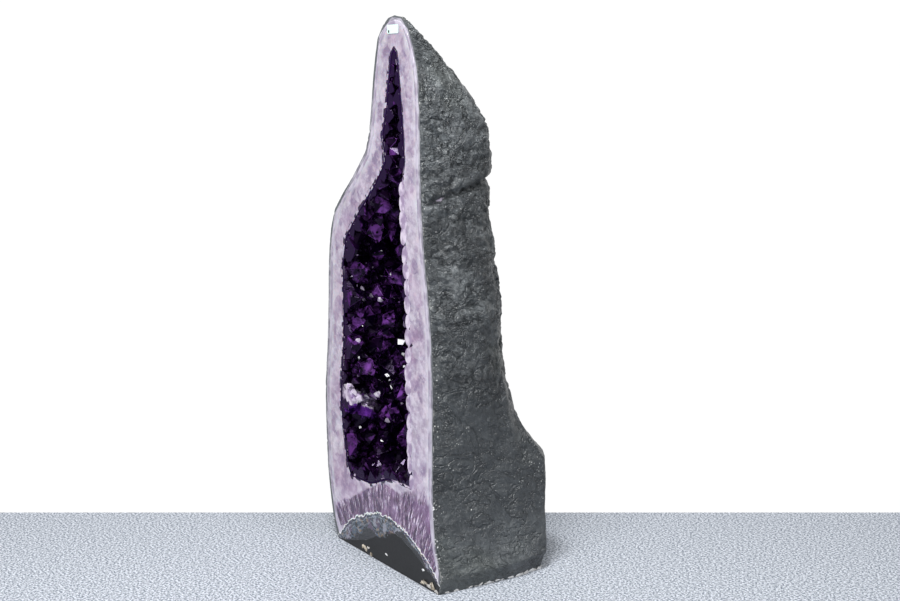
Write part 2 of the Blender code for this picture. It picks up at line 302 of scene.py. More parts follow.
def outline(z):
    """The outside at one height, from the right front edge round the back to the left one."""
    at_face = Vector((0.0, SAW_Y + 1e-4, z))
    right = outer_shell.ray_cast(at_face + Vector((REACH, 0, 0)), Vector((-1, 0, 0)))[0]
    left = outer_shell.ray_cast(at_face - Vector((REACH, 0, 0)), Vector((1, 0, 0)))[0]
    middle = (left + right) / 2
    dense = []
    for ray in range(RAYS + 1):
        turn = math.pi * ray / RAYS
        way = Vector((math.cos(turn), math.sin(turn), 0.0))
        dense.append(outer_shell.ray_cast(middle + way * REACH, -way)[0] or middle)
    dense = np.array(dense)
    far = np.concatenate(([0.0], np.cumsum(np.linalg.norm(np.diff(dense, axis=0), axis=1))))
    even = np.linspace(0.0, far[-1], COLUMNS)
    return np.stack([np.interp(even, far, dense[:, axis]) for axis in range(3)], axis=1)


heights = list(np.arange(ROW / 20, top_z - CAP, ROW))
heights += [top_z - CAP * (1 - s / CAP_ROWS) ** 2 for s in range(CAP_ROWS)]
grid = np.array([outline(z) for z in heights])
grid[:, :, 2] = np.array(heights)[:, None]
grid[0, :, 2] = 0.0
grid[:, (0, -1), 1] = SAW_Y
print("outside grid", grid.shape)

# %% [markdown]
# The pushes add up from broad lumps to grit. The upper half is rough, the lower half smoother. One deep
# crease runs round the shoulder, a groove runs just above the base, and a shallow crescent pit sits
# halfway up the right side. They fade out at the sawn front edge and at the base.

# %% Push the outside in and out
def smooth_step(t):
    t = np.clip(t, 0.0, 1.0)
    return t * t * (3 - 2 * t)


def rough(points, size, octaves, offset):
    """Fractal noise with a given grain size in metres."""
    return np.array([noise.fractal(Vector(p) / size + Vector((offset, 0, 0)), 1.0, 2.1, octaves)
                     for p in points])


across = np.gradient(grid, axis=1)
up = np.gradient(grid, axis=0)
normals = np.cross(across, up)
normals /= np.maximum(np.linalg.norm(normals, axis=2, keepdims=True), 1e-12)
flat = grid.reshape(-1, 3)
x, y, z = flat.T
tilted = flat @ np.array([[1.0, 0.0, 0.25], [0.0, 1.0, 0.2], [0.0, 0.0, 1.7]])
upper = smooth_step((z - 0.16) / 0.22)
push = 0.0020 * rough(tilted, 0.080, 2, 3.0)
dents = rough(tilted, 0.030, 3, 7.0)
push += (0.0010 + 0.0022 * upper) * np.minimum(dents, 0.25)
push -= (0.0005 + 0.0022 * upper) * np.exp(-(rough(tilted, 0.034, 3, 15.0) / 0.08) ** 2)
push += (0.0004 + 0.0010 * upper) * rough(tilted, 0.0090, 3, 11.0)
crease_z = 0.560 + 0.010 * np.sin(22 * y + 9 * x) + 0.06 * (y + 0.02)
push -= 0.0065 * np.exp(-((z - crease_z) / 0.0045) ** 2) * smooth_step((y - SAW_Y) / 0.02)
push += 0.0022 * np.exp(-((z - crease_z - 0.013) / 0.008) ** 2)
crease_z = 0.465 + 0.012 * np.sin(31 * y + 5 * x) - 0.25 * (y + 0.05)
push -= 0.0022 * np.exp(-((z - crease_z) / 0.004) ** 2)
push -= 0.0012 * np.exp(-((z - 0.050 - 0.02 * y) / 0.0022) ** 2)
pit = np.hypot((y + 0.045) / 0.013, (z - 0.402) / 0.0055)
push -= 0.0075 * np.exp(-pit ** 2) * (x > 0)
push += 0.0012 * np.exp(-((pit - 1.5) / 0.4) ** 2) * (x > 0) * (z < 0.402)
edge = 0.10 + 0.90 * smooth_step((y - SAW_Y) / 0.012)
nicks = np.clip(rough(flat, 0.006, 2, 20.0) - 0.35, 0, 1) * np.exp(-(y - SAW_Y) / 0.004)
push = push * edge - 0.0035 * nicks
push *= smooth_step(z / 0.012) * 0.85 + 0.15
push = push.reshape(grid.shape[:2])
steer = normals.copy()
steer[:, (0, -1), 1] = 0.0
steer[0, :, 2] = 0.0
if steer[len(grid) // 2, len(grid[0]) // 2, 1] < 0:
    steer = -steer
stone_grid = grid + steer * push[:, :, None]
stone_grid[:, :, 1] = np.maximum(stone_grid[:, :, 1], SAW_Y)
stone_grid[:, (0, -1), 1] = SAW_Y
stone_grid[0, :, 2] = 0.0
print("push mm", round(push.min() * 1000, 2), round(push.max() * 1000, 2))

# %% Close the block and cut its hollow
def block(points, tip):
    """A closed body with a gridded outside, a flat front and a flat base."""
    bm = bmesh.new()
    rows = [[bm.verts.new(p) for p in row] for row in points]
    for low, high in zip(rows, rows[1:]):
        for k in range(len(low) - 1):
            bm.faces.new((low[k], low[k + 1], high[k + 1], high[k]))
    peak = bm.verts.new(tip)
    for k in range(len(rows[-1]) - 1):
        bm.faces.new((rows[-1][k], rows[-1][k + 1], peak))
    bm.faces.new([row[0] for row in rows] + [peak] + [row[-1] for row in reversed(rows)])
    bm.faces.new(rows[0])
    bmesh.ops.recalc_face_normals(bm, faces=bm.faces[:])
    return bm


middle_of_top = stone_grid[-1, (0, -1)].mean(axis=0)
stone_block = make("stone_block", block(stone_grid, (middle_of_top[0], SAW_Y, top_z)))
edges = [e for e in inner_bm.edges if len(e.link_faces) == 1]
grown = bmesh.ops.extrude_edge_only(inner_bm, edges=edges)["geom"]
for vert in (g for g in grown if isinstance(g, bmesh.types.BMVert)):
    vert.co.y -= 0.02
bmesh.ops.holes_fill(inner_bm, edges=[e for e in inner_bm.edges if len(e.link_faces) == 1], sides=0)
bmesh.ops.recalc_face_normals(inner_bm, faces=inner_bm.faces[:])
hollow = make("hollow", inner_bm)
cut = stone_block.modifiers.new("hollow", "BOOLEAN")
cut.operation = "DIFFERENCE"
cut.solver = "MANIFOLD"
cut.object = hollow
rind_piece = baked(stone_block, "painted_rind")
bpy.data.objects.remove(hollow, do_unlink=True)
rind_piece.data.shade_smooth()
rind_piece.data.set_sharp_from_angle(angle=math.radians(50))

# %% [markdown]
# ## The polished face
# The face was ground flat and polished, so agate and quartz meet there without a step. Their bands follow
# the stone's edge and the hollow's edge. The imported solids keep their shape, and only their front is cut
# into a fine square grid whose points remember how far they are from each edge.

# %% Refine a face and measure it
FACE_STEP = 0.004
INNER_RING = 0.0085       # the rind's inner outline is nearer the quartz than this, the outer one isn't
LOOP_STEP = 0.0008


def refined(name):
    """The merged solid with its front cut into small squares."""
    bm = merged(name)
    xs = [v.co.x for v in bm.verts]
    zs = [v.co.z for v in bm.verts]
    for axis, low, high in (("x", min(xs), max(xs)), ("z", min(zs), max(zs))):
        way = Vector((1, 0, 0)) if axis == "x" else Vector((0, 0, 1))
        for step in range(1, int((high - low) / FACE_STEP)):
            front = [f for f in bm.faces if on_face(f)]
            edges = {e for f in front for e in f.edges}
            bmesh.ops.bisect_plane(bm, geom=[*edges, *front], dist=1e-6,
                                   plane_co=way * (low + step * FACE_STEP), plane_no=way)
    return bm


def face_loops(bm):
    """The closed outlines of the sawn face, each as evenly spaced points, longest first."""
    border = {e for f in bm.faces if on_face(f) for e in f.edges
              if sum(on_face(g) for g in e.link_faces) == 1}
    loops = []
    while border:
        edge = border.pop()
        chain = [edge.verts[0], edge.verts[1]]
        while True:
            onward = [e for e in chain[-1].link_edges if e in border]
            if not onward:
                break
            border.discard(onward[0])
            chain.append(onward[0].other_vert(chain[-1]))
        line = np.array([v.co for v in chain])
        far = np.concatenate(([0.0], np.cumsum(np.linalg.norm(np.diff(line, axis=0), axis=1))))
        even = np.arange(0.0, far[-1], LOOP_STEP)
        loops.append((even, np.stack([np.interp(even, far, line[:, a]) for a in range(3)], axis=1)))
    return sorted(loops, key=lambda loop: -loop[0][-1])


def measured(bm, name, loops):
    """An object whose points carry their distance from each outline."""
    item = make(name, bm, None, 35)
    mesh = item.data
    for label, (_, line) in loops.items():
        tree = KDTree(len(line))
        for k, point in enumerate(line):
            tree.insert(point, k)
        tree.balance()
        far = [tree.find(v.co)[2] for v in mesh.vertices]
        mesh.attributes.new(label, "FLOAT", "POINT").data.foreach_set("value", far)
    return item


quartz_bm = refined("quartz_wall")
quartz_loops = face_loops(quartz_bm)

# %% [markdown]
# Enamel over stone: dark grey with a touch of green, glossy in patches, lighter and darker in random
# patches, with white flecks where grit was knocked off. Its grey is also painted darker towards the base
# and lighter towards the top, as painted shade and painted light from above. Behind the paint, the sawn
# front shows bare charcoal basalt with a few pale mineral spots.

# %% Rind material
paint = Shade("painted_basalt", IOR=1.5, Specular_IOR_Level=0.75)
sheared = paint.vector(paint.x + paint.z * 0.35, paint.y + paint.z * 0.35, paint.z * 1.4)
cloud = paint.noise(11.0, 5.0, sheared)
mottle = paint.noise(75.0, 5.0, sheared, 0.65)
grain = paint.noise(330.0, 4.0, rough=0.7)
strokes = paint.noise(1.0, 4.0, paint.vector((paint.y + paint.z * 0.6) * 260.0, paint.x * 40.0,
                                             (paint.z - paint.y * 0.6) * 60.0), 0.6)
high = paint.z.step(0.16, 0.60)
tone = paint.mix(cloud.step(0.36, 0.64), rgb(76, 80, 83), rgb(102, 107, 110))
tone = paint.mix(mottle.step(0.52, 0.66) * 0.18, tone, rgb(160, 165, 168))
tone = paint.mix((1.0 - mottle.step(0.34, 0.47)) * 0.25, tone, rgb(56, 60, 62))
# Painted shade: darker below mid-height, less so at the very base.
painted_shade_low = (1.0 - high) * (0.5 + paint.z.step(0.06, 0.16) * 0.5)
tone = paint.mix(painted_shade_low * 0.70, tone, rgb(46, 50, 53))
# Painted light: lighter towards the top.
tone = paint.mix(paint.z.step(0.45, 0.75) * 0.12, tone, rgb(150, 155, 158))
tone = paint.mix(paint.noise(8.0, 2.0).step(0.56, 0.72) * 0.18, tone, rgb(84, 92, 80))
fleck = paint.cells(210.0)
behind = paint.y - SAW_Y
rare = paint.noise(24.0, 3.0).step(0.60, 0.68) + paint.noise(60.0, 2.0).step(0.66, 0.72)
rare = rare + (1.0 - behind.step(0.004, 0.020)) * paint.noise(30.0, 2.0).step(0.42, 0.55)
tone = paint.mix((1.0 - fleck.step(0.10, 0.24)) * rare * 0.9, tone, rgb(222, 224, 220))
worn = (1.0 - behind.step(0.0004, 0.0030)) * paint.noise(120.0, 4.0, rough=0.7).step(0.52, 0.62)
tone = paint.mix(worn * 0.7, tone, rgb(196, 196, 192))
bare = 1.0 - behind.step(0.00005, 0.00030)
crust = paint.mix(paint.noise(50.0, 4.0).step(0.4, 0.6), rgb(128, 124, 136), rgb(178, 174, 186))
inward = paint.attribute("inward")
crust = paint.mix((1.0 - (inward + paint.noise(90.0, 3.0) * 0.3).step(0.25, 0.55)) * 0.9, crust,
                  rgb(78, 84, 86))
stone_tone = paint.foot(crust)
spot = paint.cells(34.0, paint.vector(paint.x, 0.0, paint.z))
spot = (1.0 - spot.step(0.035, 0.070)) * (1.0 - paint.z.step(0.03, 0.04))
stone_tone = paint.mix(spot * 0.8, stone_tone, rgb(190, 192, 198))
tone = paint.mix(bare, tone, stone_tone)
paint.set(Base_Color=tone, Roughness=0.28 + grain * 0.20 + bare * 0.25)
folds = (paint.noise(15.0, 4.0, sheared, 0.6, 0.4) - 0.5).math("ABSOLUTE").step(0.0, 0.030)
bent = paint.vector(paint.x + cloud * 0.05 + mottle * 0.030, paint.y + mottle * 0.040,
                    paint.z * 1.3 + paint.y * 0.4 + mottle * 0.025)
patchy = paint.noise(13.0, 3.0).step(0.38, 0.60) * 0.75 + 0.25
lumps = paint.cells(26.0, bent) * -1.0
knobs = paint.cells(75.0, bent) * -1.0
relief = lumps * (0.25 + high * 0.75) * patchy + knobs * (0.12 + high * 0.38) * patchy
grit = paint.noise(150.0, 4.0, sheared, 0.6)
relief = relief + grain * 0.035 + strokes * 0.12 + grit * (0.14 + high * 0.10)
relief = relief + folds * (0.10 + high * 0.12)
paint.bump(relief * (1.0 - bare), 1.0, 0.026)
dress(rind_piece, paint.material)
ring_tree = KDTree(len(quartz_loops[0][1]))
for k, point in enumerate(quartz_loops[0][1]):
    ring_tree.insert(point, k)
ring_tree.balance()
inward = [float(v.co.y < SAW_Y + 1e-5 and ring_tree.find(v.co)[2] < INNER_RING)
          for v in rind_piece.data.vertices]
rind_piece.data.attributes.new("inward", "FLOAT", "POINT").data.foreach_set("value", inward)
finish_piece(rind_piece, "basalt", "basalt_rind")

# %% [markdown]
# ## Quartz and agate

# %% Measured faces
quartz_piece = measured(quartz_bm, "quartz_rim", {"skin": quartz_loops[0], "hollow": quartz_loops[1]})
agate_bm = refined("agate_skin")
agate_loops = face_loops(agate_bm)
agate_piece = measured(agate_bm, "agate_band", {"outer": agate_loops[0], "inner": quartz_loops[0]})
print("outlines", [round(float(l[0][-1]), 3) for l in quartz_loops + agate_loops])

# %% [markdown]
# Quartz grew inwards from the agate as packed columns, so it is streaked from the edge to the hollow.
# Above the floor it is milky lavender with mauve clouds; under the floor the columns are longer and
# purple. Its outermost margin is whitish.

# %% Quartz material
quartz = Shade("milky_quartz", Roughness=0.16, IOR=1.54, Coat_Weight=0.3, Coat_Roughness=0.05,
               Subsurface_Weight=0.25, Subsurface_Scale=0.01)
skin = quartz.attribute("skin")
hollow_far = quartz.attribute("hollow")
warp = quartz.noise(26.0, 4.0) - 0.5
cloud = quartz.noise(34.0, 5.0, rough=0.6)
fine = quartz.noise(120.0, 4.0, rough=0.65)
rays = quartz.noise(1.0, 4.0, quartz.vector(skin * 45.0, quartz.z * 110.0 + quartz.x * 70.0, 0.0), 0.6)
rim_tone = quartz.mix(cloud.step(0.38, 0.62), rgb(154, 137, 164), rgb(200, 189, 206))
rim_tone = quartz.mix(fine.step(0.51, 0.60) * 0.50, rim_tone, rgb(226, 217, 230))
rim_tone = quartz.mix((1.0 - fine.step(0.38, 0.47)) * 0.40, rim_tone, rgb(148, 130, 158))
rim_tone = quartz.mix(quartz.noise(15.0, 3.0).step(0.50, 0.62) * 0.40, rim_tone, rgb(180, 149, 181))
rim_tone = quartz.mix(rays.step(0.50, 0.70) * 0.30, rim_tone, rgb(220, 211, 226))
rim_tone = quartz.mix((1.0 - rays.step(0.32, 0.50)) * 0.25, rim_tone, rgb(140, 120, 154))
rim_tone = quartz.mix((1.0 - cloud.step(0.34, 0.47)) * 0.45, rim_tone, rgb(126, 112, 140))
patch = quartz.cells(62.0, quartz.vector(quartz.x + warp * 0.02, 0.0, quartz.z * 0.8 + warp * 0.02),
                     output="Color")
rim_tone = quartz.mix(patch.step(0.50, 0.75) * 0.25, rim_tone, rgb(236, 229, 238))
rim_tone = quartz.mix((1.0 - patch.step(0.15, 0.40)) * 0.28, rim_tone, rgb(152, 130, 162))
margin = 1.0 - (skin + warp * 0.012).step(0.001, 0.010)
rim_tone = quartz.mix(margin * 0.45, rim_tone, rgb(226, 223, 230))
# Columns under the floor fan out from a point far below it
fan_x = quartz.x - 0.02
fan_z = quartz.z + 0.20
angle = fan_x.math("ARCTAN2", fan_z)
columns = quartz.noise(1.0, 5.0, quartz.vector(angle * 34.0 + warp, 0.0, quartz.z * 20.0), 0.65)
thin = quartz.noise(1.0, 5.0, quartz.vector(angle * 95.0 + warp * 2.0, 3.0, quartz.z * 60.0), 0.7)
col_tone = quartz.mix(columns.step(0.44, 0.56), rgb(76, 50, 84), rgb(134, 108, 140))
col_tone = quartz.mix(thin.step(0.52, 0.60) * columns.step(0.40, 0.55) * 0.90, col_tone, rgb(238, 224, 242))
col_tone = quartz.mix((1.0 - thin.step(0.40, 0.48)) * 0.85, col_tone, rgb(34, 14, 44))
col_tone = quartz.mix(quartz.noise(22.0, 3.0).step(0.50, 0.62) * 0.4, col_tone, rgb(150, 116, 158))
slope = (quartz.x * 0.5).math("MINIMUM", 0.0)
right = quartz.x.step(0.060, 0.110)
border = slope + 0.122 + right * 0.010 + (quartz.noise(38.0, 4.0) - 0.5) * (0.016 + right * 0.075)
under = 1.0 - ((quartz.z - border) / (1.0 + right * 4.0)).step(-0.0025, 0.0025)
rim_tone = quartz.mix(0.02 + quartz.z.step(0.12, 0.50) * 0.08 + quartz.z.step(0.60, 0.72) * 0.09, rim_tone,
                      rgb(40, 30, 46))
tone = quartz.mix(under, rim_tone, col_tone)
lip = 1.0 - (hollow_far + warp * 0.004).step(0.0002, 0.0040)
tone = quartz.mix(lip * 0.35 * (1.0 - under), tone, rgb(226, 216, 230))
tip = quartz.cells(120.0, quartz.vector(quartz.x, 0.0, quartz.z), output="Color")
left = 1.0 - quartz.x.step(0.030, 0.045)
reach = (tip - 0.45) * 0.009 * (left + 0.25) + quartz.z.step(0.57, 0.64) * 0.0030 + left * 0.001
reach = reach + (quartz.z - 0.345).bell(0.0, 0.006) * 0.008 * (1.0 - left)
bite = 1.0 - (hollow_far - reach).step(-0.0002, 0.0003)
tone = quartz.mix(bite, tone, rgb(40, 12, 62))
quartz.set(Base_Color=quartz.foot(tone))
dress(quartz_piece, quartz.material)
finish_piece(quartz_piece, "quartz", "quartz_wall")

# %% [markdown]
# The agate skin is a few millimetres of banded grey-blue chalcedony. Over the basalt hump it thickens
# into a scalloped arch with eyes and tan specks, closed by a bright white line under the quartz columns.

# %% Agate material
agate = Shade("banded_agate", Roughness=0.14, IOR=1.54, Coat_Weight=0.3, Coat_Roughness=0.05)
outer = agate.attribute("outer")
inner = agate.attribute("inner")
wobble = (agate.noise(45.0, 4.0) - 0.5) * 0.020
skin_tone = agate.mix(agate.noise(45.0, 5.0).step(0.40, 0.60), rgb(156, 144, 166), rgb(198, 190, 206))
edge_line = (outer + wobble * 0.06).bell(0.0012, 0.0012)
skin_tone = agate.mix(edge_line * 0.35, skin_tone, rgb(226, 224, 232))
skin_tone = agate.mix((inner + wobble * 0.1).bell(0.0006, 0.0009) * 0.35, skin_tone, rgb(150, 144, 160))
agate.set(Base_Color=agate.foot(skin_tone))
dress(agate_piece, agate.material)
finish_piece(agate_piece, "agate", "agate_skin")

# %% [markdown]
# ## Amethyst
# Amethyst is quartz coloured by iron and by radiation from the rock. The colour is strongest at the tips;
# thick crystals look nearly black in the gaps and glow violet where light gets through a facet. Each
# facet carries its own random shade, and each point its own, because no two let the same light through.

# %% Amethyst material
# The cloudy belt's slope across and down per metre of depth. It is the slope of the line of sight from
# the camera to the belt, so the belt keeps its place on the stone but lines up only from there.
BELT_RUN, BELT_DROP = 1.78, 0.47


def amethyst_shade(name, gloss, lining=False):
    shade = Shade(name, IOR=1.55, Coat_Weight=0.0 if lining else 0.05, Coat_Roughness=0.04,
                  Specular_IOR_Level=0.04 if lining else 0.14)
    shade.shader.inputs["Specular Tint"].default_value = (0.75, 0.55, 1.0, 1.0)
    point_tone = shade.attribute("tone")
    facet = shade.attribute("facet")
    pale = shade.attribute("pale")
    root = shade.attribute("root")
    glow = shade.noise(34.0, 3.0)
    veil = shade.noise(95.0, 5.0, rough=0.6, twist=0.6)
    share = facet * 0.50 + point_tone * 0.30 + (glow - 0.5) * 1.3 + (veil - 0.5) * 1.6 + 0.17
    deep = shade.mix(share.step(0.50, 1.15), rgb(12, 3, 20), rgb(116, 66, 148))
    deep = shade.mix(share.step(1.05, 1.35) * 0.6, deep, rgb(160, 124, 190))
    deep = shade.mix(root * 0.25, deep, rgb(92, 54, 112))
    inside = shade.y - SAW_Y
    belt_x = shade.x + inside * BELT_RUN + (veil - 0.5) * 0.02
    belt_z = shade.z + inside * BELT_DROP + (veil - 0.5) * 0.03 + (glow - 0.5) * 0.01
    reach = belt_x.step(-0.118, -0.108) * (1.0 - belt_x.step(-0.035, 0.000))
    belt = (1.0 - (belt_z - 0.239).math("ABSOLUTE").step(0.005, 0.011)) * reach
    violet = (1.0 - (belt_z - 0.222).math("ABSOLUTE").step(0.004, 0.012)) * reach
    deep = shade.mix(violet * 0.55, deep, rgb(96, 44, 150))
    pale = pale.math("MAXIMUM", belt * (0.55 + facet * 0.45))
    deep = shade.mix((1.0 - shade.z.step(0.14, 0.24)) * 0.45, deep, rgb(10, 3, 18))
    cloudiness = shade.noise(60.0, 3.0).step(0.30, 0.70) * 0.5 + facet * 0.6 - root * 0.3
    milk = shade.mix(cloudiness, rgb(140, 104, 168), rgb(252, 248, 254))
    tone = shade.mix(pale, deep, milk)
    sawn = 1.0 - (shade.y - SAW_Y).step(0.00020, 0.00045)
    cut_tone = shade.mix(shade.noise(60.0, 3.0).step(0.40, 0.60), rgb(156, 138, 166), rgb(214, 202, 218))
    tip = shade.cells(120.0, shade.vector(shade.x, 0.0, shade.z), output="Color")
    if lining:
        near = (1.0 - tip.step(0.45, 0.48)) * shade.x.step(0.030, 0.045) * (1.0 - shade.z.step(0.57, 0.60))
    else:
        near = root.step(0.80, 0.97).math("MAXIMUM", pale)
    clear = shade.mix(share.step(0.45, 1.0), rgb(30, 2, 48), rgb(88, 34, 114))
    cut_tone = shade.mix(1.0 - near, cut_tone, clear)
    shade.set(Base_Color=shade.mix(sawn, tone, cut_tone),
              Roughness=gloss + facet * 0.10 + shade.noise(180.0, 2.0) * 0.08)
    steps = shade.noise(1.0, 3.0, shade.vector(shade.x * 60.0, shade.y * 60.0, shade.z * 420.0), 0.6)
    shade.bump(steps + shade.noise(220.0, 3.0) * 0.6, 0.35, 0.0006)
    return shade


amethyst = amethyst_shade("amethyst_gloss", 0.10)
carpet_shade = amethyst_shade("amethyst_lining", 0.22, lining=True)
# Painted glints and reflections: white for a facet flashing a lamp, grey for one mirroring the dim room.
glint_shade = Shade("painted_glint", Roughness=0.08, IOR=1.55, Coat_Weight=0.6)
glint_white = glint_shade.mix(glint_shade.noise(60.0, 2.0).step(0.3, 0.7), rgb(240, 238, 246), rgb(255, 255, 255))
glint_shade.set(Base_Color=glint_shade.mix(glint_shade.attribute("tone"), glint_white, rgb(112, 100, 126)))
print("amethyst materials", amethyst.material.name, carpet_shade.material.name, glint_shade.material.name)

# %% The wall of the hollow
ROOT = 0.009              # colour deepens over this distance from the wall
HAIR = 0.00005


def saw_flush(bm, rng):
    """Saw points off at the face. Each cut lies a random hair behind it, so no two share a plane."""
    cut = bmesh.ops.bisect_plane(bm, geom=bm.verts[:] + bm.edges[:] + bm.faces[:], dist=1e-7,
                                 plane_co=(0, SAW_Y, 0), plane_no=(0, -1, 0), clear_outer=True)
    edges = [e for e in cut["geom_cut"] if isinstance(e, bmesh.types.BMEdge)]
    pale = bm.faces.layers.float.get("pale")
    for face in bmesh.ops.edgeloop_fill(bm, edges=edges)["faces"]:
        behind = rng.uniform(HAIR, 3 * HAIR)
        if pale:
            face[pale] = 1.0
        for vert in face.verts:
            vert.co.y = SAW_Y + behind


def wall_surface(name):
    """The lining's inner surface, facing into the hollow."""
    bm = merged("amethyst_carpet")
    groups = shells(bm)
    groups.sort(key=lambda g: -min(v.co.z for v in g))
    wall = only(bm, groups[0])
    bm.free()
    return make(name, wall)


wall = wall_surface("wall_for_rays")
wall_tree = BVHTree.FromObject(wall, bpy.context.evaluated_depsgraph_get())
bpy.data.objects.remove(wall, do_unlink=True)


def with_roots(item):
    """Give each point of a mesh its nearness to the wall: 1 on it, 0 where the colour is deep."""
    near = [1.0 - min(1.0, wall_tree.find_nearest(v.co)[3] / ROOT) for v in item.data.vertices]
    item.data.attributes.new("root", "FLOAT", "POINT").data.foreach_set("value", near)


# %% [markdown]
# The large points are the imported crystals with worn edges: real edges are never razor sharp, and the
# narrow bevel catches a thin line of light. The bevel's faces are also coloured lighter than the facets,
# a painted highlight along each edge.

# %% Large points
WORN_EDGE_HIGHLIGHT_AREA = 0.00002
rng = random.Random(5)
large = bmesh.new()
facet_layer = large.faces.layers.float.new("facet")
tone_layer = large.faces.layers.float.new("tone")
crystal_names = sorted(n for n in nodes if n.startswith("crystal_"))
for name in crystal_names:
    bm = merged(name)
    bmesh.ops.dissolve_limit(bm, angle_limit=math.radians(2), verts=bm.verts[:], edges=bm.edges[:])
    bmesh.ops.bevel(bm, geom=[e for e in bm.edges if e.calc_length() > 0.003], offset=0.0006, segments=1,
                    affect="EDGES", profile=0.5, clamp_overlap=True)
    tone_value = rng.random()
    lookup = {v: large.verts.new(v.co) for v in bm.verts}
    for face in bm.faces:
        made = large.faces.new([lookup[v] for v in face.verts])
        # Bevel faces get a facet value above any facet's, so they are painted lighter: a painted highlight.
        made[facet_layer] = rng.random() if face.calc_area() > WORN_EDGE_HIGHLIGHT_AREA else 1.1
        made[tone_layer] = tone_value
    bm.free()
large_piece = make("amethyst_points", large, amethyst.material)
large_piece.data.shade_flat()
with_roots(large_piece)
finish_piece(large_piece, "amethyst", *crystal_names)

# %% [markdown]
# Between the large points the wall is packed with small ones. They are scattered over the lining's
# inner surface with a fixed spacing, each pointing roughly into the hollow, and those that cross the
# sawn plane are sawn off flush like the rest of the face.

# %% Prototype points
LAYERS = ("facet", "tone", "pale")


def add_point(bm, rng, prism, pyramid, place=Matrix(), uneven=0.12, **values):
    """Add a hexagonal prism with a slightly uneven pyramid, its base at the origin of its place."""
    layers = {key: bm.faces.layers.float.get(key) or bm.faces.layers.float.new(key) for key in LAYERS}
    rings = []
    for z in (-0.4, prism):
        ring = []
        for k in range(6):
            turn = math.tau * k / 6
            reach = 1.0 + uneven * (k % 2)
            height = z + (rng.uniform(-uneven, uneven) if z > 0 else 0.0)
            corner = Vector((math.cos(turn) * reach, math.sin(turn) * reach, height))
            ring.append(bm.verts.new(place @ corner))
        rings.append(ring)
    top = Vector((rng.uniform(-uneven, uneven), rng.uniform(-uneven, uneven), prism + pyramid))
    tip = bm.verts.new(place @ top)
    faces = [bm.faces.new(list(reversed(rings[0])))]
    for k in range(6):
        n = (k + 1) % 6
        faces.append(bm.faces.new((rings[0][k], rings[0][n], rings[1][n], rings[1][k])))
        faces.append(bm.faces.new((rings[1][k], rings[1][n], tip)))
    for face in faces:
        face[layers["facet"]] = rng.random()
        for key, value in values.items():
            face[layers[key]] = value


prototypes = bpy.data.collections.new("prototypes")
for number, (prism, pyramid) in enumerate(((0.5, 1.25), (0.9, 1.15), (0.2, 1.35))):
    proto_bm = bmesh.new()
    add_point(proto_bm, random.Random(40 + number), prism, pyramid)
    proto = make(f"prototype_{number}", proto_bm)
    bpy.context.scene.collection.objects.unlink(proto)
    prototypes.objects.link(proto)


# %% Scatter
def link(tree, start, output, end, key):
    tree.links.new(start.outputs[output], end.inputs[key])


